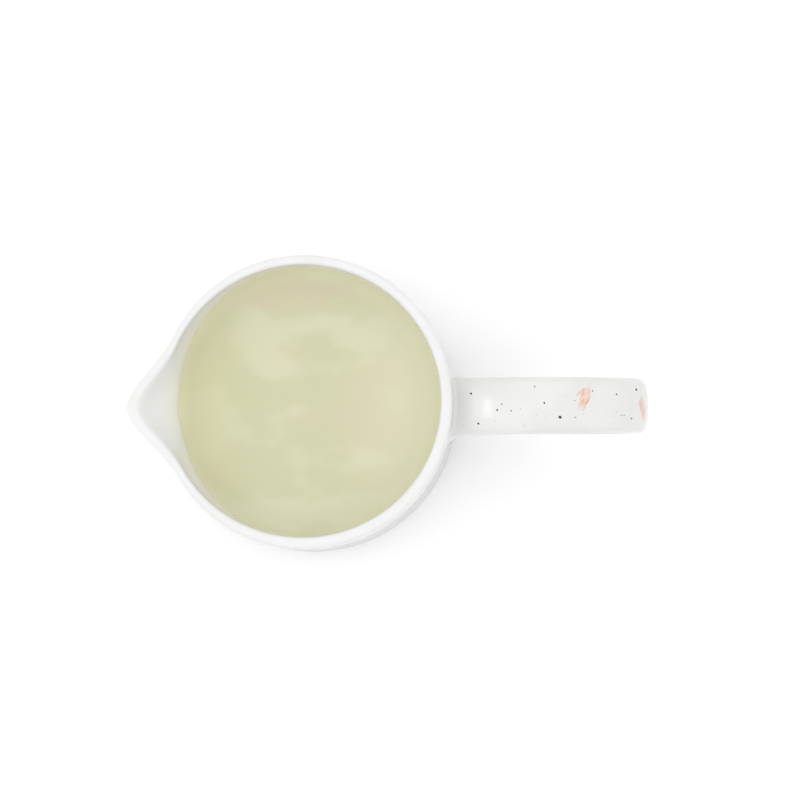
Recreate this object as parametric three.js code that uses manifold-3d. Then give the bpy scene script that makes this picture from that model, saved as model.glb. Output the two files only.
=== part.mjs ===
import * as THREE from "three";
import { mergeVertices } from "three/addons/utils/BufferGeometryUtils.js";
import Module from "manifold-3d";

// A ceramic pot for melting and pouring candle wax: a glazed vessel with a pouring spout drawn out of
// its rim, a strap handle made on its own and luted to the wall, and the charge of wax inside.
// Millimetres, +Z up. The origin is the middle of the flat base, the spout points along -X and the
// handle along +X.

// Vessel
const HEIGHT = 80;
const RIM_RADIUS = 45; // outside of the wall
const WALL_AT_RIM = 3.3;
const WALL_BELOW = 3.8;
const WALL_FULL_DEPTH = 30; // depth below the rim where the wall has its full thickness
const RIM_ROUND_HEIGHT = 1.3;
const RIM_SQUARENESS = 2.6; // power of the rim's superellipse
const FLOOR_THICKNESS = 5;
const BASE_CORNER = 5;
const FLOOR_CORNER = 8;
const OVALITY = 0.5; // how much longer than a true round it is, at the spout and at the handle
const BORE_SHIFT = 0.45; // and how much thinner its wall is to one side
const BORE_SHIFT_ANGLE = THREE.MathUtils.degToRad(-52); // from the spout

// Spout, drawn out of the rim by hand and so a little off the middle line
const SPOUT_ANGLE = THREE.MathUtils.degToRad(182.1);
const SPOUT_SIDE = 0.61; // how fast the lip falls back on either side, mm per degree
const SPOUT_TIP_ROUNDING = 4.3; // degrees
const OUTER_LIP = { reach: 10.35, top: 0, fall: 0.94, blend: 6 }; // mm, mm, mm per mm of depth, mm
const INNER_LIP = { reach: 7.7, top: 0.5, fall: 0.94, blend: 6 };

// Throat: the wall under the spout is pressed inwards
const OUTER_THROAT = { atRim: 0.9, most: 2.9, depth: 14, end: 38 };
const INNER_THROAT = { atRim: 0, most: 3.5, depth: 12, end: 36 };
const THROAT_HALF_WIDTH = 80; // degrees

// Strap handle, also set a little off the middle line
const HANDLE_OFFSET = -1.1;
const HANDLE_DRIFT = 1.5; // the strap leans this far towards +Y on its way to the tail
const STRAP_WIDTH = 18.2;
const STRAP_WIDTH_AT_TAIL = 15.6;
const STRAP_THICKNESS = 6.8;
const STRAP_FLARE = 1.2; // how much the strap swells on each side where it meets the wall
const STRAP_FLARE_LENGTH = 9;
const STRAP_SQUARENESS = 2.7; // power of the section's superellipse
// The strap's middle from its root near the rim to its tail. Each knot has a heading in degrees and
// the reach of the curve's control points before and after it.
const HANDLE_LINE = [
  { x: 43, z: 64.5, heading: 29, before: 0, after: 9 },
  { x: 66.8, z: 73, heading: 0, before: 8, after: 23 },
  { x: 102.7, z: 55, heading: -90, before: 12, after: 14.5 },
  { x: 78, z: 29, heading: -168, before: 14.3, after: 12.3 },
  { x: 43, z: 14.5, heading: -145, before: 11, after: 0 },
];

// Wax
const WAX_DEPTH = 11; // below the rim
const GAP = 0.3; // left between pieces that touch

// Facets
const SIDES = 72;
const SIDE_PACKING = 0.5; // 0 spaces the sides evenly, towards 1 packs them at the spout
const WALL_STEPS = 11;
const WALL_CROWDING = 1.4; // power that moves these steps towards the rim
const ARC_STEPS = 4;
const RIM_STEPS = 6;
const STRAP_STEPS = 40;
const STRAP_SIDES = 18;
const WELD = 1e-4; // points closer than this are one point

const wasm = await Module();
wasm.setup();

const { clamp, lerp, smoothstep, radToDeg } = THREE.MathUtils;

// A smooth version of max(x, 0) that is exact outside -width to width.
function softPositive(x, width) {
  if (x <= -width) return 0;
  if (x >= width) return x;
  return (x + width) ** 2 / (4 * width);
}

// A sine or cosine moved towards that of a rectangle's corner, for a superellipse of a given power.
function squared(value, power) {
  return Math.sign(value) * Math.abs(value) ** (2 / power);
}

// How far the lip stands out of the round wall, at an angle from the spout's middle in degrees.
function lipReach(lip, angle, depth) {
  const side = SPOUT_SIDE * (Math.hypot(angle, SPOUT_TIP_ROUNDING) - SPOUT_TIP_ROUNDING);
  const down = lip.fall * Math.max(depth - lip.top, 0);
  return softPositive(lip.reach - down - side, lip.blend);
}

// How far the throat is pressed in.
function throatPress(throat, angle, depth) {
  const across = Math.cos((Math.PI / 2) * clamp(angle / THROAT_HALF_WIDTH, -1, 1)) ** 2;
  const goingDown = lerp(throat.atRim, throat.most, smoothstep(depth, 0, throat.depth));
  const fade = 1 - smoothstep(depth, throat.depth, throat.end);
  return across * goingDown * fade;
}

// How far the outside and the inside of the wall stand out of a true round, at an angle from the
// spout in radians.
function outerShift(angle, depth) {
  const degrees = radToDeg(angle);
  const spout = lipReach(OUTER_LIP, degrees, depth) - throatPress(OUTER_THROAT, degrees, depth);
  return OVALITY * Math.cos(angle) ** 2 + spout;
}

function innerShift(angle, depth) {
  const degrees = radToDeg(angle);
  const spout = lipReach(INNER_LIP, degrees, depth) - throatPress(INNER_THROAT, degrees, depth);
  const oval = OVALITY * Math.cos(angle) ** 2;
  return oval + BORE_SHIFT * Math.cos(angle - BORE_SHIFT_ANGLE) + spout;
}

// The round inner radius at a depth below the rim, before the spout is drawn out.
function innerRadius(depth) {
  return RIM_RADIUS - lerp(WALL_AT_RIM, WALL_BELOW, smoothstep(depth, 0, WALL_FULL_DEPTH));
}

// Turns a profile of {radius, height, inner} points, where inner is 0 on the outside of the wall and
// 1 on the inside, and moves each point out or in by the spout and the throat.
function turned(profile) {
  const points = profile.map((p) => new THREE.Vector2(p.radius, p.height));
  const geometry = new THREE.LatheGeometry(points, SIDES);
  const position = geometry.getAttribute("position");
  for (let i = 0; i < position.count; i++) {
    const { radius, height, inner } = profile[i % profile.length];
    const turn = Math.atan2(position.getX(i), position.getZ(i)) - SPOUT_ANGLE;
    const even = Math.atan2(Math.sin(turn), Math.cos(turn));
    const packed = even - SIDE_PACKING * Math.sin(even);
    const depth = HEIGHT - height;
    const shift = lerp(outerShift(packed, depth), innerShift(packed, depth), inner);
    const across = radius > 0 ? radius + shift : 0;
    const angle = packed + SPOUT_ANGLE;
    position.setXYZ(i, across * Math.cos(angle), across * Math.sin(angle), height);
  }
  return geometry;
}

// Points on an arc of the profile, from one angle to another in degrees, both included.
function arc(radius, height, size, from, to, inner) {
  const points = [];
  for (let i = 0; i <= ARC_STEPS; i++) {
    const angle = THREE.MathUtils.degToRad(lerp(from, to, i / ARC_STEPS));
    const across = radius + size * Math.cos(angle);
    points.push({ radius: across, height: height + size * Math.sin(angle), inner });
  }
  return points;
}

// Depths of the wall's points between two depths, closer together near the rim.
function wallDepths(from, to) {
  const depths = [];
  for (let i = 1; i < WALL_STEPS; i++) {
    depths.push(lerp(from, to, (i / WALL_STEPS) ** WALL_CROWDING));
  }
  return depths;
}

// The inside of the vessel from a starting depth down to the middle of its floor, drawn in by a
// clearance.
function innerWall(startDepth, clearance) {
  const endDepth = HEIGHT - FLOOR_THICKNESS - FLOOR_CORNER;
  const wall = [startDepth, ...wallDepths(startDepth, endDepth)].map((depth) => ({
    radius: innerRadius(depth) - clearance,
    height: HEIGHT - depth,
    inner: 1,
  }));
  const cornerRadius = innerRadius(endDepth) - FLOOR_CORNER;
  const cornerHeight = FLOOR_THICKNESS + FLOOR_CORNER;
  const corner = arc(cornerRadius, cornerHeight, FLOOR_CORNER - clearance, 0, -90, 1);
  return [...wall, ...corner, { radius: 0, height: FLOOR_THICKNESS + clearance, inner: 1 }];
}

// The rim's rounded top, from outside to inside.
function rimTop() {
  const points = [];
  for (let i = 0; i <= RIM_STEPS; i++) {
    const angle = (Math.PI * i) / RIM_STEPS;
    const inner = (1 - squared(Math.cos(angle), RIM_SQUARENESS)) / 2;
    const drop = RIM_ROUND_HEIGHT * (1 - squared(Math.sin(angle), RIM_SQUARENESS));
    points.push({ radius: RIM_RADIUS - WALL_AT_RIM * inner, height: HEIGHT - drop, inner });
  }
  return points;
}

function potBody() {
  const base = { radius: 0, height: 0, inner: 0 };
  const foot = arc(RIM_RADIUS - BASE_CORNER, BASE_CORNER, BASE_CORNER, -90, 0, 0);
  const wall = wallDepths(RIM_ROUND_HEIGHT, HEIGHT - BASE_CORNER)
    .reverse()
    .map((depth) => ({ radius: RIM_RADIUS, height: HEIGHT - depth, inner: 0 }));
  const bore = innerWall(RIM_ROUND_HEIGHT, 0).slice(1);
  return turned([base, ...foot, ...wall, ...rimTop(), ...bore]);
}

function waxFill() {
  const surface = { radius: 0, height: HEIGHT - WAX_DEPTH, inner: 1 };
  return turned([surface, ...innerWall(WAX_DEPTH, GAP)].reverse());
}

// One ring of the strap's section, around its middle line at a share of its length.
function strapRing(line, share) {
  const middle = line.getPointAt(share);
  const along = line.getTangentAt(share);
  const outwards = new THREE.Vector3(-along.z, 0, along.x);
  const toEnd = Math.min(share, 1 - share) * line.getLength();
  const flare = STRAP_FLARE * clamp(1 - toEnd / STRAP_FLARE_LENGTH, 0, 1) ** 2;
  const halfWidth = lerp(STRAP_WIDTH, STRAP_WIDTH_AT_TAIL, share) / 2 + flare;
  const halfThickness = STRAP_THICKNESS / 2 + flare;
  const drift = HANDLE_OFFSET + HANDLE_DRIFT * smoothstep(share, 0, 1);
  const ring = [];
  for (let i = 0; i < STRAP_SIDES; i++) {
    const turn = (2 * Math.PI * i) / STRAP_SIDES;
    const out = halfThickness * squared(Math.sin(turn), STRAP_SQUARENESS);
    const point = middle.clone().addScaledVector(outwards, out);
    point.y += drift + halfWidth * squared(Math.cos(turn), STRAP_SQUARENESS);
    ring.push(point);
  }
  return ring;
}

// Joins rings of points into one closed tube with flat ends.
function loft(rings) {
  const count = rings[0].length;
  const positions = [];
  const triangle = (...corners) => corners.forEach((p) => positions.push(p.x, p.y, p.z));
  for (let r = 0; r + 1 < rings.length; r++) {
    for (let i = 0; i < count; i++) {
      const next = (i + 1) % count;
      triangle(rings[r][i], rings[r][next], rings[r + 1][next]);
      triangle(rings[r][i], rings[r + 1][next], rings[r + 1][i]);
    }
  }
  const first = rings[0];
  const last = rings[rings.length - 1];
  for (let i = 1; i + 1 < count; i++) {
    triangle(first[0], first[i + 1], first[i]);
    triangle(last[0], last[i], last[i + 1]);
  }
  const position = new THREE.Float32BufferAttribute(positions, 3);
  return new THREE.BufferGeometry().setAttribute("position", position);
}

function solidOf(geometry) {
  const bare = geometry.clone();
  bare.deleteAttribute("normal");
  bare.deleteAttribute("uv");
  const merged = mergeVertices(bare, WELD);
  return new wasm.Manifold(
    new wasm.Mesh({
      numProp: 3,
      vertProperties: new Float32Array(merged.getAttribute("position").array),
      triVerts: new Uint32Array(merged.getIndex().array),
    }),
  );
}

function geometryOf(solid) {
  const mesh = solid.getMesh();
  const geometry = new THREE.BufferGeometry();
  geometry.setAttribute("position", new THREE.Float32BufferAttribute(mesh.vertProperties, 3));
  geometry.setIndex(new THREE.Uint32BufferAttribute(mesh.triVerts, 1));
  geometry.computeVertexNormals();
  return geometry;
}

// The curve between two knots of the handle's line.
function span(from, to) {
  const point = (knot, reach) => {
    const heading = THREE.MathUtils.degToRad(knot.heading);
    const way = new THREE.Vector3(Math.cos(heading), 0, Math.sin(heading));
    return new THREE.Vector3(knot.x, 0, knot.z).addScaledVector(way, reach);
  };
  const leaving = point(from, from.after);
  const arriving = point(to, -to.before);
  return new THREE.CubicBezierCurve3(point(from, 0), leaving, arriving, point(to, 0));
}

// The handle's two ends are cut to the curve of the wall.
function strapHandle() {
  const line = new THREE.CurvePath();
  for (let i = 0; i + 1 < HANDLE_LINE.length; i++) {
    line.add(span(HANDLE_LINE[i], HANDLE_LINE[i + 1]));
  }
  const rings = [];
  for (let i = 0; i <= STRAP_STEPS; i++) {
    rings.push(strapRing(line, i / STRAP_STEPS));
  }
  const wall = turned([
    { radius: 0, height: 0, inner: 0 },
    { radius: RIM_RADIUS + GAP, height: 0, inner: 0 },
    { radius: RIM_RADIUS + GAP, height: HEIGHT, inner: 0 },
    { radius: 0, height: HEIGHT, inner: 0 },
  ]);
  return geometryOf(solidOf(loft(rings)).subtract(solidOf(wall)));
}

const glaze = { color: 0xf0efed, roughness: 0.15, metalness: 0 };
const wax = { color: 0xd6d5ad, roughness: 0.4, metalness: 0 };

function piece(name, geometry, look) {
  const mesh = new THREE.Mesh(geometry, new THREE.MeshStandardMaterial(look));
  mesh.name = name;
  return mesh;
}

const pot = new THREE.Group();
pot.add(piece("pot_body", potBody(), glaze));
pot.add(piece("strap_handle", strapHandle(), glaze));
pot.add(piece("wax_fill", waxFill(), wax));

export default pot;
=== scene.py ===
"""The look of a ceramic candle-wax pot: a white glazed vessel with a spout, a speckled strap handle with
copper flakes, and green wax.

Shapes are worked out in millimetres, in the frame of the CAD model, and become metres where a mesh is made.
"""

import math

import bpy
import numpy as np
from mathutils import Matrix, Vector, noise


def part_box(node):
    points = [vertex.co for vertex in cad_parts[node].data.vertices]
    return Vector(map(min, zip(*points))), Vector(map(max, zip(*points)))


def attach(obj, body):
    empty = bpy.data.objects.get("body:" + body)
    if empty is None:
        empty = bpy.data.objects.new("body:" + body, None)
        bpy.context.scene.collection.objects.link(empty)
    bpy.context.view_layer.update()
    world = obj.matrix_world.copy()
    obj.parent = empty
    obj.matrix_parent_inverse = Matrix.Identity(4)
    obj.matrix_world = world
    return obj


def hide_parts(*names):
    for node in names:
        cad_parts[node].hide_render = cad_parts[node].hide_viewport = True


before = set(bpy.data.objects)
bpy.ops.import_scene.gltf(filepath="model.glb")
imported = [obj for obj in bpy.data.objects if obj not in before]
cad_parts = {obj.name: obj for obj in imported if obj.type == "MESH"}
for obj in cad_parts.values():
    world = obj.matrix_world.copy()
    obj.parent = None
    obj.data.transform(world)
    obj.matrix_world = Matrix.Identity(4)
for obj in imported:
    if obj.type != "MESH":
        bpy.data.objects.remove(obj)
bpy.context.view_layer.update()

MM = 0.001
BODY = "root"


def high_corner_mm(node):
    return np.array(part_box(node)[1]) / MM


pot_high = high_corner_mm("pot_body")
wax_high = high_corner_mm("wax_fill")

# Vessel
HEIGHT = pot_high[2]
INSIDE_CAD_BOX = 0.01  # how far the visual wall stays inside the CAD model's
RIM_RADIUS = pot_high[1] - INSIDE_CAD_BOX
WALL_AT_RIM = 3.3
WALL_BELOW = 3.8
WALL_FULL_DEPTH = 30  # depth below the rim where the wall has its full thickness
OVALITY = 0.5  # the vessel is this much longer than a true round, at the spout and at the handle
BORE_SHIFT = 0.45  # and its wall is this much thinner to one side
BORE_SHIFT_ANGLE = -52  # degrees from the spout
RIM_ROUND_HEIGHT = 1.3  # the rim is rounded over this much of its height
RIM_SQUARENESS = 2.6
FLOOR_THICKNESS = 5
BASE_CORNER = 5
FLOOR_CORNER = 8
HAND_UNEVENNESS = 0.03  # how far the outside dips in from a true cylinder
UNEVENNESS_LENGTH = 26
UNEVEN_FROM = 15  # height where the dips are full
UNEVEN_TO = {"full": 12, "none": 2}  # depths below the rim where they start to fade and are gone
GLAZE_EDGE_HEIGHT = 1.3  # the clay below this is bare
GLAZE_EDGE_WIDTH = 0.25
GLAZE_THICKNESS = 0.18
PLAIN_RIM_HEIGHT = 4  # the speckled glaze of the outside stops this far below the rim
OUTSIDE_SHADE_DEPTH = 30  # and its painted shade, darker and cooler than the rim's white, is full this far below
WAX_GLOW_DEPTHS = (2, 11)  # depths between which the inside's glaze takes on the painted light thrown back by the wax

# Spout, drawn out of the rim by hand and so a little off the middle line
SPOUT_ANGLE = math.radians(182.1)
SPOUT_SIDE = 0.61  # how fast the lip falls back on either side, mm per degree
SPOUT_TIP_ROUNDING = 4.3  # degrees
OUTER_LIP = {"reach": 10.15, "top": 0, "fall": 0.94, "blend": 6}
INNER_LIP = {"reach": 7.7, "top": 0.5, "fall": 0.94, "blend": 6}
OUTER_THROAT = {"at_rim": 0.9, "most": 2.9, "depth": 14, "end": 38}
INNER_THROAT = {"at_rim": 0, "most": 3.5, "depth": 12, "end": 36}
THROAT_HALF_WIDTH = 80  # degrees

# Strap handle, also set a little off the middle line
HANDLE_OFFSET = -1.1
HANDLE_DRIFT = 1.5  # the strap leans this far towards +Y on its way to the tail
STRAP_WIDTH = 18.2
STRAP_WIDTH_AT_TAIL = 15.6
STRAP_THICKNESS = 6.7
STRAP_FLARE = 1.2  # how much the strap swells on each side where it meets the wall
STRAP_FLARE_LENGTH = 9
FLARE_UPWARDS = 0.3  # the strap swells less in its thickness than in its width
STRAP_SQUARENESS = 2.7
# The strap's middle from its root near the rim to its tail, with headings in degrees.
HANDLE_LINE = [
    {"x": 43, "z": 64.5, "heading": 29, "before": 0, "after": 9},
    {"x": 66.8, "z": 73, "heading": 0, "before": 8, "after": 23},
    {"x": 102.7, "z": 55, "heading": -90, "before": 12, "after": 14.5},
    {"x": 78, "z": 29, "heading": -168, "before": 14.3, "after": 12.3},
    {"x": 43, "z": 14.5, "heading": -145, "before": 11, "after": 0},
]
LINE_EXTENSION = 9  # added to both ends of the line, for the side of the strap that meets the wall first
WALL_SEARCH_REACH = 3 * LINE_EXTENSION  # the strap comes out of the wall within this length of both ends
LUTING_FILLET = 2  # radius of the clay smoothed into the corner between strap and wall
LUTING_SINK = 0.5  # how far the strap's ends go into the wall
FILLET_SINK = 0.08  # how far the fillet is set into the wall, so that it comes out of it at a clear angle
STRAP_WAVES = 0.05  # the strap was smoothed by hand, which left low waves in it
STRAP_WAVE_LENGTH = 8
MARKS_END = 76  # the strap's upper side runs to here, and the rest gets scattered marks
UNDERSIDE = -3  # out from the strap's middle

# Wax
WAX_HEIGHT = wax_high[2]
MENISCUS_HEIGHT = 0.2
MENISCUS_WIDTH = 1.6
WAX_OVERLAP = 0.1  # into the wall, so that no gap shows
WAX_SWELL = 0.05  # how much its surface rises and dips
WAX_SWELL_LENGTH = 17
WAX_MIDDLE = 1.2  # radius of the innermost row of its surface

# Mesh density
SIDES = 240
SIDE_PACKING = 0.4
BASE_STEPS = 8
FOOT_STEPS = 40
OUTSIDE_STEPS = 70
RIM_STEPS = 25
INSIDE_STEPS = 60
CORNER_STEPS = 10
FLOOR_STEPS = 5
MIDDLE_RADIUS = 4  # of the innermost row of the base and of the floor
STRAP_RINGS = 170
FILLET_RINGS = 9
STRAP_SIDES = 72
LINE_STEPS = 300  # points on each stretch of the handle's line
WALL_SEARCH_STEPS = 400
WAX_CORNER_STEPS = 8
WAX_SIDE_STEPS = 24
MENISCUS_STEPS = 12
WAX_TOP_STEPS = 60


# ---------------------------------------------------------------- shapes


def smoothstep(x, low, high):
    t = np.clip((x - low) / (high - low), 0, 1)
    return t * t * (3 - 2 * t)


def soft_positive(x, width):
    """A smooth version of max(x, 0)."""
    middle = (x + width) ** 2 / (4 * width)
    return np.where(x <= -width, 0, np.where(x >= width, x, middle))


def squared(value, power):
    """Moves a sine or cosine towards that of a rectangle's corner, for a superellipse of a given power."""
    return np.sign(value) * np.abs(value) ** (2 / power)


def lip_reach(lip, angle, depth):
    """How far the lip stands out of the round wall, at an angle in degrees from the spout's middle."""
    side = SPOUT_SIDE * (np.hypot(angle, SPOUT_TIP_ROUNDING) - SPOUT_TIP_ROUNDING)
    down = lip["fall"] * np.maximum(depth - lip["top"], 0)
    return soft_positive(lip["reach"] - down - side, lip["blend"])


def throat_press(throat, angle, depth):
    """How far the wall under the spout is pressed in."""
    across = np.cos(math.pi / 2 * np.clip(angle / THROAT_HALF_WIDTH, -1, 1)) ** 2
    deeper = smoothstep(depth, 0, throat["depth"])
    going_down = throat["at_rim"] + (throat["most"] - throat["at_rim"]) * deeper
    return across * going_down * (1 - smoothstep(depth, throat["depth"], throat["end"]))


def oval_shift(angle):
    """How far the wall stands out of a true round at an angle from the spout, as it is longer one way."""
    return OVALITY * np.cos(np.radians(angle)) ** 2


def outer_shift(angle, depth):
    spout = lip_reach(OUTER_LIP, angle, depth) - throat_press(OUTER_THROAT, angle, depth)
    return oval_shift(angle) + spout


def inner_shift(angle, depth):
    spout = lip_reach(INNER_LIP, angle, depth) - throat_press(INNER_THROAT, angle, depth)
    return oval_shift(angle) + BORE_SHIFT * np.cos(np.radians(angle - BORE_SHIFT_ANGLE)) + spout


def inner_radius(depth):
    thickness = WALL_AT_RIM + (WALL_BELOW - WALL_AT_RIM) * smoothstep(depth, 0, WALL_FULL_DEPTH)
    return RIM_RADIUS - thickness


def arc(radius, height, size, start, end, steps):
    """Rows of (radius, height) along an arc, its angles in degrees."""
    angles = np.radians(np.linspace(start, end, steps + 1))
    return np.column_stack([radius + size * np.cos(angles), height + size * np.sin(angles)])


def turned(profile):
    """Rows of points round the axis for a profile of (radius, height, inner) rows.

    inner goes from 0 on the outside of the wall to 1 on its inside."""
    even = np.linspace(-math.pi, math.pi, SIDES, endpoint=False)
    from_spout = even - SIDE_PACKING * np.sin(even)
    degrees = np.degrees(from_spout)[None, :]
    radius, height, inner = (np.asarray(profile, float)[:, i, None] for i in range(3))
    depth = HEIGHT - height
    shift = (1 - inner) * outer_shift(degrees, depth) + inner * inner_shift(degrees, depth)
    across = radius + shift * smoothstep(radius, 0, inner_radius(depth))
    turn = from_spout + SPOUT_ANGLE
    height = np.broadcast_to(height, across.shape)
    return np.stack([across * np.cos(turn), across * np.sin(turn), height], -1)


# ---------------------------------------------------------------- meshes


def skin(rows, first, last):
    """One closed surface through rows of points, with a single point at each end.

    Gives the points, the faces, and for each face the row where it starts, the first point being row 0."""
    count = rows.shape[1]
    points = np.vstack([[first], rows.reshape(-1, 3), [last]])
    here = np.arange(count)
    after = (here + 1) % count
    faces = [(0, 1 + b, 1 + a) for a, b in zip(here, after)]
    for row in range(len(rows) - 1):
        low = 1 + row * count
        faces += [(low + a, low + b, low + count + b, low + count + a) for a, b in zip(here, after)]
    low = 1 + (len(rows) - 1) * count
    faces += [(low + a, low + b, len(points) - 1) for a, b in zip(here, after)]
    faces = [tuple(int(i) for i in face) for face in faces]
    return points, faces, np.repeat(np.arange(len(rows) + 1), count)


def add_mesh(name, points, faces, materials, face_materials=None, places=None):
    """A smooth mesh piece, from points in millimetres. places holds each point's place on the surface."""
    mesh = bpy.data.meshes.new(name)
    mesh.from_pydata((np.asarray(points) * MM).tolist(), [], faces)
    for material in materials:
        mesh.materials.append(material)
    if face_materials is not None:
        mesh.polygons.foreach_set("material_index", [int(i) for i in face_materials])
    if places is not None:
        attribute = mesh.attributes.new("place", "FLOAT_VECTOR", "POINT")
        attribute.data.foreach_set("vector", np.asarray(places).ravel())
    mesh.polygons.foreach_set("use_smooth", [True] * len(mesh.polygons))
    mesh.update()
    piece = bpy.data.objects.new(name, mesh)
    bpy.context.scene.collection.objects.link(piece)
    return piece


# ---------------------------------------------------------------- vessel


def foot_rows():
    """The rounded edge of the base: bare clay first, then the edge of the glaze standing proud of it."""
    rows = arc(RIM_RADIUS - BASE_CORNER, BASE_CORNER, BASE_CORNER, -90, 0, FOOT_STEPS)
    height = rows[:, 1]
    glaze_starts = smoothstep(height, GLAZE_EDGE_HEIGHT, GLAZE_EDGE_HEIGHT + GLAZE_EDGE_WIDTH)
    bare = smoothstep(height, 0, GLAZE_THICKNESS) * (1 - glaze_starts)
    normal = (rows - [RIM_RADIUS - BASE_CORNER, BASE_CORNER]) / BASE_CORNER
    return rows - normal * (bare * GLAZE_THICKNESS)[:, None]


def rim_rows():
    """The rim's rounded top, from outside to inside."""
    turn = np.radians(np.linspace(0, 180, RIM_STEPS))
    across, up = squared(np.cos(turn), RIM_SQUARENESS), squared(np.sin(turn), RIM_SQUARENESS)
    radius = RIM_RADIUS - WALL_AT_RIM / 2 * (1 - across)
    height = HEIGHT - RIM_ROUND_HEIGHT * (1 - up)
    return [(r, h, (RIM_RADIUS - r) / WALL_AT_RIM) for r, h in zip(radius, height)]


def spaced_depths(start, end, count):
    """Depths from start to end, close together at the start and without either end."""
    return (np.geomspace(1, end - start + 1, count + 2) - 1 + start)[1:-1]


def vessel_profile():
    """(radius, height, inner) rows from the middle of the base, up outside, over the rim and down inside."""
    floor_depth = HEIGHT - FLOOR_THICKNESS - FLOOR_CORNER
    floor_radius = inner_radius(floor_depth) - FLOOR_CORNER
    base_radii = np.linspace(MIDDLE_RADIUS, RIM_RADIUS - BASE_CORNER - 1, BASE_STEPS)
    base = [(radius, 0, 0) for radius in base_radii]
    foot = [(r, h, 0) for r, h in foot_rows()]
    outside_depths = spaced_depths(RIM_ROUND_HEIGHT, HEIGHT - BASE_CORNER, OUTSIDE_STEPS)[::-1]
    outside = [(RIM_RADIUS, HEIGHT - d, 0) for d in outside_depths]
    inside_depths = spaced_depths(RIM_ROUND_HEIGHT, floor_depth, INSIDE_STEPS)
    inside = [(inner_radius(d), HEIGHT - d, 1) for d in inside_depths]
    corner = arc(floor_radius, FLOOR_THICKNESS + FLOOR_CORNER, FLOOR_CORNER, 0, -90, CORNER_STEPS)
    corner = [(r, h, 1) for r, h in corner]
    floor_radii = np.linspace(floor_radius - MIDDLE_RADIUS, MIDDLE_RADIUS, FLOOR_STEPS)
    floor = [(radius, FLOOR_THICKNESS, 1) for radius in floor_radii]
    return np.array([*base, *foot, *outside, *rim_rows(), *inside, *corner, *floor])


def make_uneven(rows, profile):
    """Dips the outside wall in a little here and there, as a hand-finished surface does."""
    height, inner = profile[:, 1], profile[:, 2]
    fade_in = smoothstep(height, BASE_CORNER, UNEVEN_FROM)
    fade = fade_in * (1 - smoothstep(height, HEIGHT - UNEVEN_TO["full"], HEIGHT - UNEVEN_TO["none"]))
    for row in np.flatnonzero((inner == 0) & (fade > 0)):
        for point in rows[row]:
            dip = 0.5 + 0.5 * noise.noise(Vector(point) / UNEVENNESS_LENGTH)
            point[:2] *= 1 - HAND_UNEVENNESS * fade[row] * dip / RIM_RADIUS


def make_vessel(rim_glaze, inner_glaze, speckled_glaze, bare_clay):
    profile = vessel_profile()
    rows = turned(profile)
    make_uneven(rows, profile)
    points, faces, bands = skin(rows, (0, 0, 0), (0, 0, FLOOR_THICKNESS))
    height = np.append(0, profile[:, 1])[bands]
    inner = np.append(0, profile[:, 2])[bands]
    outside = np.select([height > HEIGHT - PLAIN_RIM_HEIGHT, height > GLAZE_EDGE_HEIGHT], [0, 2], 3)
    materials = [rim_glaze, inner_glaze, speckled_glaze, bare_clay]
    return add_mesh("glazed_vessel", points, faces, materials, np.where(inner > 0, 1, outside))


# ---------------------------------------------------------------- handle


def handle_line():
    """Closely spaced points and directions along the middle of the strap, with their distances along it."""
    share = np.linspace(0, 1, LINE_STEPS)[:, None]
    rest = 1 - share
    headings = [math.radians(k["heading"]) for k in HANDLE_LINE]
    ways = [np.array([math.cos(heading), math.sin(heading)]) for heading in headings]
    knots = [np.array([k["x"], k["z"]]) for k in HANDLE_LINE]
    stretches = [knots[0] - ways[0] * LINE_EXTENSION * rest[:-1]]
    for i in range(len(knots) - 1):
        leaving = knots[i] + HANDLE_LINE[i]["after"] * ways[i]
        arriving = knots[i + 1] - HANDLE_LINE[i + 1]["before"] * ways[i + 1]
        bezier = rest**3 * knots[i] + 3 * rest**2 * share * leaving + 3 * rest * share**2 * arriving
        stretches.append((bezier + share**3 * knots[i + 1])[:-1])
    stretches.append(knots[-1] + ways[-1] * LINE_EXTENSION * share)
    line = np.vstack(stretches)
    along = np.append(0, np.cumsum(np.hypot(*np.diff(line, axis=0).T)))
    direction = np.gradient(line, along, axis=0)
    return line, direction / np.hypot(*direction.T)[:, None], along


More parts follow.
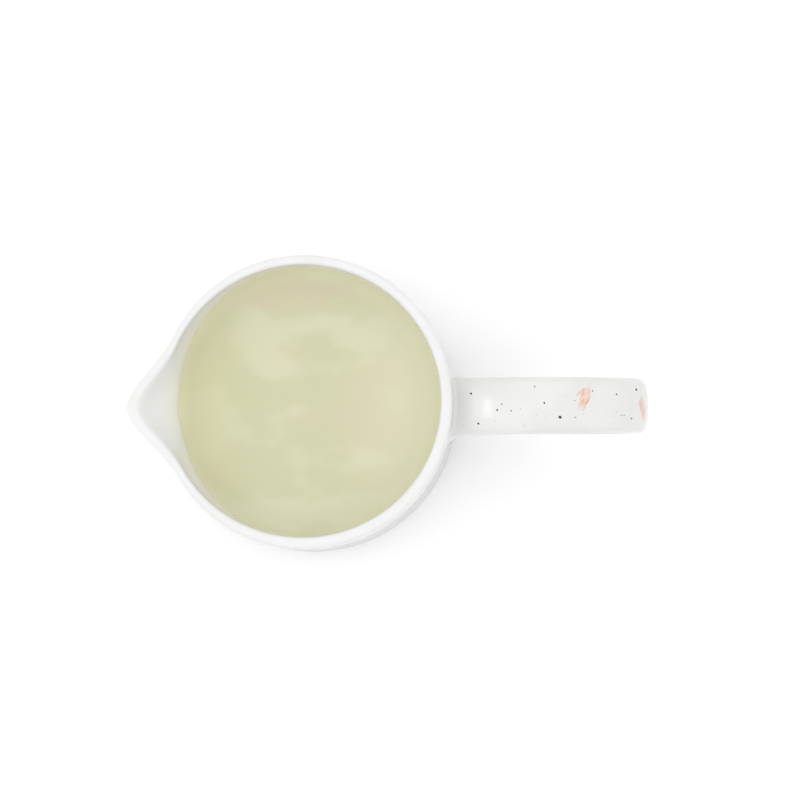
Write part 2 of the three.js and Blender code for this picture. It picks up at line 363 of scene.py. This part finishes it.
class Strap:
    """The strap's surface: a rounded rectangle that follows the handle's line, made column by column."""

    def __init__(self):
        self.line, self.direction, self.along = handle_line()
        self.length = self.along[-1]
        turn = np.linspace(0, 2 * math.pi, STRAP_SIDES, endpoint=False)
        self.across_unit = squared(np.cos(turn), STRAP_SQUARENESS)
        self.out_unit = squared(np.sin(turn), STRAP_SQUARENESS)

    def point(self, side, along, flare, fillet):
        """Points at distances along the line, the section swollen by its flare and by a fillet."""
        share = along / self.length
        width = STRAP_WIDTH + (STRAP_WIDTH_AT_TAIL - STRAP_WIDTH) * share
        half_width = width / 2 + flare + fillet
        half_thickness = STRAP_THICKNESS / 2 + FLARE_UPWARDS * flare + fillet
        across = self.across_unit[side] * half_width
        out = self.out_unit[side] * half_thickness * np.ones(len(along))
        columns = (*self.line.T, *self.direction.T)
        x, z, way_x, way_z = (np.interp(along, self.along, values) for values in columns)
        drift = HANDLE_OFFSET + HANDLE_DRIFT * smoothstep(share, 0, 1)
        points = np.stack([x - out * way_z, across + drift, z + out * way_x], -1)
        return points, np.stack([along - LINE_EXTENSION, across, out], -1)

    def meets_wall(self, side, at_tail, fillet=0):
        """Where along the line a column of the flared strap, or of its fillet, comes out of the wall."""
        from_end = np.linspace(0, WALL_SEARCH_REACH, WALL_SEARCH_STEPS)
        along = self.length - from_end if at_tail else from_end
        points, _ = self.point(side, along, STRAP_FLARE, fillet)
        from_spout = np.degrees(np.arctan2(points[:, 1], points[:, 0]) - SPOUT_ANGLE)
        outside = np.hypot(points[:, 0], points[:, 1]) > RIM_RADIUS + oval_shift(from_spout)
        return along[np.argmax(outside)]

    def column(self, side):
        """The points and surface places of one column, with a fillet at both ends."""
        start = self.meets_wall(side, False)
        end = self.meets_wall(side, True)
        start_lean = self.meets_wall(side, False, LUTING_FILLET) - start
        end_lean = self.meets_wall(side, True, LUTING_FILLET) - end
        turn = np.radians(np.linspace(0, 90, FILLET_RINGS))
        fillet_at = np.append(-LUTING_SINK, LUTING_FILLET * (1 - np.cos(turn)) - FILLET_SINK)
        fillet_swell = np.append(LUTING_FILLET, LUTING_FILLET * (1 - np.sin(turn)))
        reach = fillet_swell / LUTING_FILLET
        middle = np.linspace(start + LUTING_FILLET, end - LUTING_FILLET, STRAP_RINGS)[1:-1]
        first = start + fillet_at + start_lean * reach
        last = end - fillet_at + end_lean * reach
        along = np.concatenate([first, middle, last[::-1]])
        fillet = np.concatenate([fillet_swell, np.zeros(len(middle)), fillet_swell[::-1]])
        to_end = np.clip(np.minimum(along - start, end - along), 0, STRAP_FLARE_LENGTH)
        flare = STRAP_FLARE * (1 - to_end / STRAP_FLARE_LENGTH) ** 2
        across = self.across_unit[side] * STRAP_WIDTH / 2
        out = self.out_unit[side] * STRAP_THICKNESS / 2
        waves = [noise.noise(Vector((step, across, out)) / STRAP_WAVE_LENGTH) - 1 for step in along]
        return self.point(side, along, flare, fillet + STRAP_WAVES * np.array(waves) / 2)


def make_handle(handle_glaze):
    strap = Strap()
    columns = [strap.column(side) for side in range(STRAP_SIDES)]
    rows = np.stack([points for points, _ in columns], axis=1)
    places = np.stack([place for _, place in columns], axis=1)
    points, faces, _ = skin(rows, rows[0].mean(axis=0), rows[-1].mean(axis=0))
    places = np.vstack([[places[0].mean(axis=0)], places.reshape(-1, 3), [places[-1].mean(axis=0)]])
    return add_mesh("luted_strap", points, faces, [handle_glaze], places=places)


# ---------------------------------------------------------------- wax


def wax_rows():
    """(radius, height, inner) rows from under the charge, up its side and over its top to the middle."""
    level = WAX_HEIGHT - MENISCUS_HEIGHT
    edge = inner_radius(HEIGHT - WAX_HEIGHT) + WAX_OVERLAP
    floor_depth = HEIGHT - FLOOR_THICKNESS - FLOOR_CORNER
    floor_radius = inner_radius(floor_depth) - FLOOR_CORNER
    corner_height = FLOOR_THICKNESS + FLOOR_CORNER
    corner = arc(floor_radius, corner_height, FLOOR_CORNER + WAX_OVERLAP, -90, 0, WAX_CORNER_STEPS)
    depths = np.linspace(floor_depth, HEIGHT - WAX_HEIGHT, WAX_SIDE_STEPS)[1:]
    side = [(inner_radius(d) + WAX_OVERLAP, HEIGHT - d, 1) for d in depths]
    rise = np.linspace(1, 0, MENISCUS_STEPS)[1:]
    meniscus = [(edge - MENISCUS_WIDTH * (1 - s), level + MENISCUS_HEIGHT * s**3, 1) for s in rise]
    top_radii = np.linspace(edge - MENISCUS_WIDTH, WAX_MIDDLE, WAX_TOP_STEPS)[1:]
    top = [(radius, level, 1) for radius in top_radii]
    return np.array([*[(r, h, 1) for r, h in corner], *side, *meniscus, *top])


def make_wax(wax):
    rows = turned(wax_rows())
    top = np.isclose(rows[..., 2], WAX_HEIGHT - MENISCUS_HEIGHT)
    swell = np.array([noise.noise(Vector((x, y, 0)) / WAX_SWELL_LENGTH) for x, y, _ in rows[top]])
    rows[..., 2][top] += WAX_SWELL * swell
    points, faces, _ = skin(rows, (0, 0, rows[0, 0, 2]), rows[-1].mean(axis=0))
    return add_mesh("wax_charge", points, faces, [wax])


# ---------------------------------------------------------------- materials


def rgb(red, green, blue):
    """A colour from its 0 to 255 display values."""
    linear = [((c / 255 + 0.055) / 1.055) ** 2.4 for c in (red, green, blue)]
    return (*linear, 1)


GLAZE_WHITE = rgb(222, 222, 222)
GLAZE_WHITE_WARM = rgb(219, 219, 218)
# Painted shade: the strap's white is a little darker than the rim's, to tone down the overhead light on its
# top.
SHADED_HANDLE_WHITE = rgb(218, 218, 217)
SHADED_HANDLE_WARM = rgb(214, 214, 212)
# Painted light: the warm, brighter glow that the wax throws onto the inner wall.
WAX_GLOW_ON_INSIDE = rgb(229, 227, 217)
# Painted shade: the speckled outside is a darker, bluer white than the rim, for the shade on the vessel's
# side.
SHADED_OUTSIDE_WHITE = rgb(206, 206, 207)
SHADED_OUTSIDE_COOL = rgb(202, 203, 204)
GLAZE_ROUGHNESS = (0.12, 0.2)
GLAZE_WAVINESS = 0.15
HANDLE_ROUGHNESS = (0.14, 0.24)
HANDLE_WAVINESS = 0.06
OUTSIDE_ROUGHNESS = (0.29, 0.34)
OUTSIDE_WAVINESS = 0.03
FULL_SHINE = 0.5
OUTSIDE_SHINE = 0.08
CLAY = rgb(226, 219, 206)
CLAY_DEEP = rgb(206, 198, 184)
SPECK_DARK = rgb(22, 15, 10)
SPECK_FAINT = rgb(140, 142, 142)
COPPER = rgb(217, 191, 177)
COPPER_DEEP = rgb(198, 154, 134)
# Scattered marks: the size of their cells, their largest radius and the softness of their edge, in mm.
DARK_SPECKS = (4.2, 0.42, 0.12)
FAINT_SPECKS = (3.1, 0.36, 0.3)
BODY_FLAKE_CELL = 24
STRAP_FLAKE_CELL = 16
FLAKE_SIZE = (2.1, 4.2, 2.8)


class Recipe:
    """A material's node tree, built one node at a time."""

    def __init__(self, name):
        self.material = bpy.data.materials.new(name)
        self.material.use_nodes = True
        self.tree = self.material.node_tree
        self.shader = self.tree.nodes["Principled BSDF"]
        self.here = self.node("ShaderNodeTexCoord").outputs["Object"]

    def put(self, socket, value):
        if isinstance(value, bpy.types.NodeSocket):
            self.tree.links.new(value, socket)
        else:
            socket.default_value = value

    def node(self, kind, links=None, **settings):
        made = self.tree.nodes.new(kind)
        for name, value in settings.items():
            setattr(made, name, value)
        for socket, value in (links or {}).items():
            self.put(made.inputs[socket], value)
        return made

    def set(self, **values):
        for name, value in values.items():
            self.put(self.shader.inputs[name.replace("_", " ")], value)

    def math(self, operation, first, second=0.0, clamp=False):
        links = {0: first, 1: second}
        return self.node("ShaderNodeMath", links, operation=operation, use_clamp=clamp).outputs[0]

    def times(self, first, second):
        return self.math("MULTIPLY", first, second)

    def vector(self, operation, first, second=(0, 0, 0), output=0):
        links = {0: first, 1: second}
        return self.node("ShaderNodeVectorMath", links, operation=operation).outputs[output]

    def scaled(self, vector, factor):
        return self.node("ShaderNodeVectorMath", {0: vector, "Scale": factor}, operation="SCALE").outputs[0]

    def split(self, vector):
        return self.node("ShaderNodeSeparateXYZ", {0: vector}).outputs

    def mix(self, share, first, second):
        made = self.node("ShaderNodeMix", {0: share, 6: first, 7: second}, data_type="RGBA")
        return made.outputs[2]

    def ramp(self, value, low, high, to_low=0.0, to_high=1.0):
        links = {"Value": value, "From Min": low, "From Max": high, "To Min": to_low, "To Max": to_high}
        return self.node("ShaderNodeMapRange", links, interpolation_type="SMOOTHSTEP").outputs["Result"]

    def noise(self, size_mm, detail=2.0, roughness=0.5, vector=None, output="Fac"):
        links = {"Vector": vector or self.here, "Scale": 1 / (size_mm * MM)}
        links.update({"Detail": detail, "Roughness": roughness})
        return self.node("ShaderNodeTexNoise", links).outputs[output]

    def cells(self, size_mm, vector=None):
        links = {"Vector": vector or self.here, "Scale": 1 / (size_mm * MM)}
        return self.node("ShaderNodeTexVoronoi", links).outputs

    def bump(self, height, strength, distance_mm, normal=None):
        links = {"Height": height, "Strength": strength, "Distance": distance_mm * MM}
        if normal:
            links["Normal"] = normal
        return self.node("ShaderNodeBump", links).outputs["Normal"]

    def highest(self, values):
        total = values[0]
        for value in values[1:]:
            total = self.math("MAXIMUM", total, value)
        return total


def glaze_base(recipe, white, warm, roughness, waviness):
    """The plain glaze: its colour, roughness and normal, with slow waves and a fine orange peel."""
    colour = recipe.mix(recipe.ramp(recipe.noise(15, detail=3), 0.38, 0.64), white, warm)
    gloss = recipe.ramp(recipe.noise(7), 0.3, 0.7, *roughness)
    wave = recipe.bump(recipe.noise(9, detail=1), waviness, 0.2)
    normal = recipe.bump(recipe.noise(1.8, detail=1), 0.2 * waviness, 0.03, wave)
    return colour, gloss, normal


def finish_glaze(recipe, colour, gloss, normal, metal=0.0, shine=FULL_SHINE):
    recipe.set(
        Base_Color=colour,
        Roughness=gloss,
        Normal=normal,
        Metallic=metal,
        Specular_IOR_Level=shine,
        Coat_Weight=0.3 * shine,
        Coat_Roughness=0.1,
    )
    return recipe.material


def scattered_specks(recipe, cell_mm, radius_mm, edge_mm):
    """Specks of different sizes scattered through the glaze, as a mask from 0 to 1."""
    wobble = recipe.scaled(recipe.noise(0.7, output="Color"), 0.3 * MM)
    cells = recipe.cells(cell_mm, recipe.vector("ADD", recipe.here, wobble))
    chance = recipe.split(cells["Color"])[0]
    size = recipe.math("MULTIPLY", recipe.math("ADD", chance, 0.35), radius_mm / cell_mm)
    inside = recipe.math("SUBTRACT", size, cells["Distance"])
    return recipe.math("DIVIDE", inside, edge_mm / cell_mm, clamp=True)


def ragged_patch(recipe, local, size_mm, streak_vector):
    """The mask of one brushed-on flake, and its deeper-coloured streaks."""
    reach = recipe.vector("LENGTH", recipe.vector("DIVIDE", local, size_mm), output=1)
    streaks = recipe.noise(0.9, detail=3, roughness=0.65, vector=streak_vector)
    ragged = recipe.ramp(streaks, 0.3, 0.7, -0.55, 0.45)
    edge = recipe.math("ADD", recipe.math("SUBTRACT", 1.0, reach), ragged)
    return recipe.ramp(edge, 0.08, 0.28), streaks


def scattered_flakes(recipe, cell_mm, size_mm):
    """Copper flakes scattered over a surface, each turned its own way."""
    cells = recipe.cells(cell_mm)
    local = recipe.vector("SUBTRACT", recipe.here, cells["Position"])
    turn = recipe.vector("MULTIPLY", cells["Color"], (math.tau, math.tau, math.tau))
    links = {"Vector": local, "Rotation": turn}
    turned_local = recipe.node("ShaderNodeVectorRotate", links, rotation_type="EULER_XYZ").outputs[0]
    streak_vector = recipe.vector("MULTIPLY", turned_local, (1, 0.3, 1))
    size = [s * MM for s in size_mm]
    return ragged_patch(recipe, turned_local, size, streak_vector)


# Specks on the strap's upper side: distance along the strap's line, distance across it, and radius, in
# millimetres.
STRAP_SPECKS = [
    (10.6, 3.8, 0.34),
    (12.8, -5.4, 0.32),
    (18.6, -1.4, 0.26),
    (19.9, 0.4, 0.22),
    (22.5, -1.7, 0.18),
    (25.0, -1.2, 0.12),
    (29.3, 5.6, 0.22),
    (30.0, -3.0, 0.12),
    (32.1, 0.6, 0.3),
    (36.8, -3.8, 0.5),
    (41.1, 1.3, 0.16),
    (41.2, -3.9, 0.16),
    (46.5, 4.2, 0.22),
    (53.6, 3.2, 0.28),
    (55.2, -3.2, 0.18),
    (56.0, -3.2, 0.16),
    (58.6, -4.2, 0.22),
    (60.5, 4.8, 0.4),
]
# The copper flakes there: place, half sizes and lean in degrees.
STRAP_FLAKES = [
    {"along": 43.8, "across": 2, "size": (2.0, 4.2), "lean": 22},
    {"along": 63.0, "across": -1.2, "size": (1.5, 4.2), "lean": -13},
]


def strap_specks(recipe, place):
    """The mask of the placed specks, their outlines a little uneven."""
    wobble = recipe.vector("SUBTRACT", recipe.noise(0.6, output="Color"), (0.5, 0.5, 0.5))
    place = recipe.vector("ADD", place, recipe.scaled(wobble, 0.5))
    flat = recipe.vector("MULTIPLY", place, (1, 1, 0))
    masks = []
    for along, across, radius in STRAP_SPECKS:
        reach = recipe.vector("DISTANCE", flat, (along, across, 0), output=1)
        masks.append(recipe.ramp(reach, radius * 0.7, radius * 1.25, 1.0, 0.0))
    return recipe.highest(masks)


def strap_flakes(recipe, place):
    """The mask of the placed flakes. The first one's streaks run on through the others."""
    masks, streaks = [], []
    for flake in STRAP_FLAKES:
        centre = recipe.vector("SUBTRACT", place, (flake["along"], flake["across"], 0))
        flat = recipe.vector("MULTIPLY", centre, (1, 1, 0))
        links = {"Vector": flat, "Angle": math.radians(flake["lean"])}
        lean = recipe.node("ShaderNodeVectorRotate", links, rotation_type="Z_AXIS").outputs[0]
        streak_vector = recipe.vector("MULTIPLY", lean, (MM, 0.3 * MM, MM))
        mask, streak = ragged_patch(recipe, lean, (*flake["size"], 1), streak_vector)
        masks.append(mask)
        streaks.append(streak)
    return recipe.highest(masks), streaks[0]


def white_glaze():
    recipe = Recipe("white_glaze")
    base = glaze_base(recipe, GLAZE_WHITE, GLAZE_WHITE_WARM, GLAZE_ROUGHNESS, GLAZE_WAVINESS)
    return finish_glaze(recipe, *base)


def inner_glaze():
    """Painted light: the glaze inside the vessel turns a little brighter and warmer on its way down to the
    wax, for the light the wax throws back onto it.
    """
    recipe = Recipe("inner_glaze")
    base = glaze_base(recipe, GLAZE_WHITE, GLAZE_WHITE_WARM, GLAZE_ROUGHNESS, GLAZE_WAVINESS)
    colour, gloss, normal = base
    start, end = ((HEIGHT - depth) * MM for depth in WAX_GLOW_DEPTHS)
    down = recipe.ramp(recipe.split(recipe.here)[2], start, end)
    return finish_glaze(recipe, recipe.mix(down, colour, WAX_GLOW_ON_INSIDE), gloss, normal)


def add_marks(recipe, base, dark, faint, flakes, streaks, shine=FULL_SHINE):
    """Lays specks and copper flakes over the plain glaze."""
    colour, gloss, normal = base
    colour = recipe.mix(recipe.math("MULTIPLY", faint, 0.4), colour, SPECK_FAINT)
    colour = recipe.mix(dark, colour, SPECK_DARK)
    copper = recipe.mix(recipe.ramp(streaks, 0.5, 0.68), COPPER, COPPER_DEEP)
    colour = recipe.mix(flakes, colour, copper)
    gloss = recipe.math("ADD", gloss, recipe.math("MULTIPLY", flakes, 0.12))
    normal = recipe.bump(flakes, 0.5, 0.03, normal)
    return finish_glaze(recipe, colour, gloss, normal, recipe.math("MULTIPLY", flakes, 0.45), shine)


def speckled_glaze():
    recipe = Recipe("speckled_glaze")
    dark = scattered_specks(recipe, *DARK_SPECKS)
    faint = scattered_specks(recipe, *FAINT_SPECKS)
    flakes, streaks = scattered_flakes(recipe, BODY_FLAKE_CELL, FLAKE_SIZE)
    base = glaze_base(recipe, SHADED_OUTSIDE_WHITE, SHADED_OUTSIDE_COOL, OUTSIDE_ROUGHNESS, OUTSIDE_WAVINESS)
    colour, gloss, normal = base
    # The painted shade on the outside fades out towards the plain rim.
    start, end = ((HEIGHT - depth) * MM for depth in (OUTSIDE_SHADE_DEPTH, PLAIN_RIM_HEIGHT))
    near_rim = recipe.ramp(recipe.split(recipe.here)[2], start, end)
    base = recipe.mix(near_rim, colour, GLAZE_WHITE), gloss, normal
    return add_marks(recipe, base, dark, faint, flakes, streaks, OUTSIDE_SHINE)


def handle_glaze():
    recipe = Recipe("speckled_handle_glaze")
    place = recipe.node("ShaderNodeAttribute", attribute_name="place").outputs["Vector"]
    along, _, out = recipe.split(place)
    upper_side = recipe.math("GREATER_THAN", out, 0)
    underside = recipe.math("LESS_THAN", out, UNDERSIDE)
    elsewhere = recipe.highest([underside, recipe.math("GREATER_THAN", along, MARKS_END)])
    dark = recipe.times(scattered_specks(recipe, *DARK_SPECKS), elsewhere)
    dark = recipe.highest([dark, recipe.times(strap_specks(recipe, place), upper_side)])
    faint = scattered_specks(recipe, *FAINT_SPECKS)
    flakes, streaks = scattered_flakes(recipe, STRAP_FLAKE_CELL, FLAKE_SIZE)
    flakes = recipe.times(flakes, elsewhere)
    placed, placed_streaks = strap_flakes(recipe, place)
    placed = recipe.times(placed, upper_side)
    streaks = recipe.highest([recipe.times(streaks, flakes), recipe.times(placed_streaks, placed)])
    flakes = recipe.highest([flakes, placed])
    base = glaze_base(recipe, SHADED_HANDLE_WHITE, SHADED_HANDLE_WARM, HANDLE_ROUGHNESS, HANDLE_WAVINESS)
    return add_marks(recipe, base, dark, faint, flakes, streaks)


def bare_clay():
    recipe = Recipe("bare_clay")
    grain = recipe.noise(0.7, detail=4, roughness=0.7)
    colour = recipe.mix(recipe.ramp(grain, 0.35, 0.7), CLAY, CLAY_DEEP)
    recipe.set(Base_Color=colour, Normal=recipe.bump(grain, 0.5, 0.12), Roughness=0.85)
    return recipe.material


WAX_GREEN = rgb(191, 193, 157)
WAX_BEIGE = rgb(197, 190, 160)
WAX_PALE = rgb(199, 200, 169)
# Painted shade on the spout's side, where the wall keeps the soft light off the wax, and painted light on
# the handle's side.
WAX_SPOUT_SIDE_SHADE = rgb(189, 186, 146)
WAX_HANDLE_SIDE_LIGHT = rgb(208, 207, 177)
# Painted light at the wax's edge, against the shade where it meets the wall.
WAX_EDGE_LIGHT = rgb(219, 218, 183)


def candle_wax():
    """Opaque wax with soft cloudy patches, with painted shade darkening it towards the spout and painted
    light making it paler towards the handle and at its edge.
    """
    recipe = Recipe("candle_wax")
    here_mm = recipe.vector("DIVIDE", recipe.here, (MM, MM, MM))
    towards_handle = recipe.split(here_mm)[0]
    from_axis = recipe.vector("LENGTH", recipe.vector("MULTIPLY", here_mm, (1, 1, 0)), output=1)
    streaks = recipe.vector("MULTIPLY", recipe.here, (0.8, 1.25, 1))
    cloud = recipe.noise(26, detail=2, roughness=0.4, vector=streaks)
    patch = recipe.noise(17, detail=3, roughness=0.4, vector=streaks)
    colour = recipe.mix(recipe.ramp(cloud, 0.4, 0.6), WAX_GREEN, WAX_BEIGE)
    colour = recipe.mix(recipe.ramp(patch, 0.47, 0.62), colour, WAX_PALE)
    # Painted light towards the handle and painted shade towards the spout.
    colour = recipe.mix(recipe.ramp(towards_handle, 5, 42, 0.0, 0.8), colour, WAX_HANDLE_SIDE_LIGHT)
    colour = recipe.mix(recipe.ramp(towards_handle, -8, -42, 0.0, 0.9), colour, WAX_SPOUT_SIDE_SHADE)
    # Painted light at the wax's edge.
    colour = recipe.mix(recipe.ramp(from_axis, 35, 43, 0.0, 0.75), colour, WAX_EDGE_LIGHT)
    recipe.set(
        Base_Color=colour,
        Roughness=recipe.ramp(cloud, 0.3, 0.7, 0.3, 0.4),
        Normal=recipe.bump(recipe.noise(9, detail=1), 0.2, 0.15),
        Subsurface_Weight=0.2,
        Subsurface_Radius=(1.0, 0.9, 0.5),
        Subsurface_Scale=1.2 * MM,
        Coat_Weight=0.1,
        Coat_Roughness=0.2,
    )
    return recipe.material


# ---------------------------------------------------------------- studio

CAMERA_PLACE = Vector((65.3, -58.4, 1380)) * MM
CAMERA_AIM = Vector((29.5, 0.5, 80)) * MM
CAMERA_LENS = 192
CAMERA_SENSOR = 36
CAMERA_CLIP = (0.05, 20)
WORLD_AT_HORIZON = 0.66
WORLD_OVERHEAD = 1.49
KEY_ELEVATION = math.radians(53.7)
KEY_DISTANCE = 1.3
KEY_SIZE = (0.4, 0.17)
KEY_POWER = 0.6
FLOOR_HALF = 4
FLOOR_WHITE = (0.98, 0.98, 0.98, 1)


def facing(place, aim, up):
    """The matrix of a camera or light at a place that looks at a point, with a direction kept upright."""
    back = (place - aim).normalized()
    right = up.cross(back).normalized()
    above = back.cross(right)
    return Matrix.Translation(place) @ Matrix((right, above, back)).transposed().to_4x4()


def make_camera():
    data = bpy.data.cameras.new("camera")
    data.lens = CAMERA_LENS
    data.sensor_width = CAMERA_SENSOR
    data.clip_start, data.clip_end = CAMERA_CLIP
    camera = bpy.data.objects.new("camera", data)
    camera.matrix_world = facing(CAMERA_PLACE, CAMERA_AIM, Vector((0, 1, 0)))
    bpy.context.scene.collection.objects.link(camera)
    bpy.context.scene.camera = camera


def make_studio():
    """A pale world, brighter overhead than at the horizon, and one soft light on the spout's side."""
    world = bpy.data.worlds.new("studio")
    world.use_nodes = True
    nodes, links = world.node_tree.nodes, world.node_tree.links
    up = nodes.new("ShaderNodeSeparateXYZ")
    links.new(nodes.new("ShaderNodeTexCoord").outputs["Generated"], up.inputs[0])
    strength = nodes.new("ShaderNodeMapRange")
    strength.inputs["To Min"].default_value = WORLD_AT_HORIZON
    strength.inputs["To Max"].default_value = WORLD_OVERHEAD
    links.new(up.outputs["Z"], strength.inputs["Value"])
    nodes["Background"].inputs["Color"].default_value = (1, 1, 1, 1)
    links.new(strength.outputs["Result"], nodes["Background"].inputs["Strength"])
    bpy.context.scene.world = world
    bpy.context.scene.view_settings.view_transform = "Standard"
    data = bpy.data.lights.new("softbox", "AREA")
    data.shape = "ELLIPSE"
    data.size, data.size_y = KEY_SIZE
    data.energy = KEY_POWER
    light = bpy.data.objects.new("softbox", data)
    aim = Vector((0, 0, HEIGHT * MM))
    place = aim + KEY_DISTANCE * Vector((-math.cos(KEY_ELEVATION), 0, math.sin(KEY_ELEVATION)))
    light.matrix_world = facing(place, aim, Vector((0, 0, 1)))
    bpy.context.scene.collection.objects.link(light)


def make_floor():
    recipe = Recipe("floor_white")
    recipe.set(Base_Color=FLOOR_WHITE, Roughness=0.9)
    mesh = bpy.data.meshes.new("floor")
    corners = [(-1, -1, 0), (1, -1, 0), (1, 1, 0), (-1, 1, 0)]
    mesh.from_pydata([Vector(corner) * FLOOR_HALF for corner in corners], [], [(0, 1, 2, 3)])
    mesh.materials.append(recipe.material)
    floor = bpy.data.objects.new("floor", mesh)
    bpy.context.scene.collection.objects.link(floor)


# ---------------------------------------------------------------- build

make_camera()
make_studio()
make_floor()

vessel = make_vessel(white_glaze(), inner_glaze(), speckled_glaze(), bare_clay())
handle = make_handle(handle_glaze())
charge = make_wax(candle_wax())

for piece, node, slot in (
    (vessel, "pot_body", "white_glaze"),
    (handle, "strap_handle", "speckled_glaze"),
    (charge, "wax_fill", "candle_wax"),
):
    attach(piece, BODY)
    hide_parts(node)
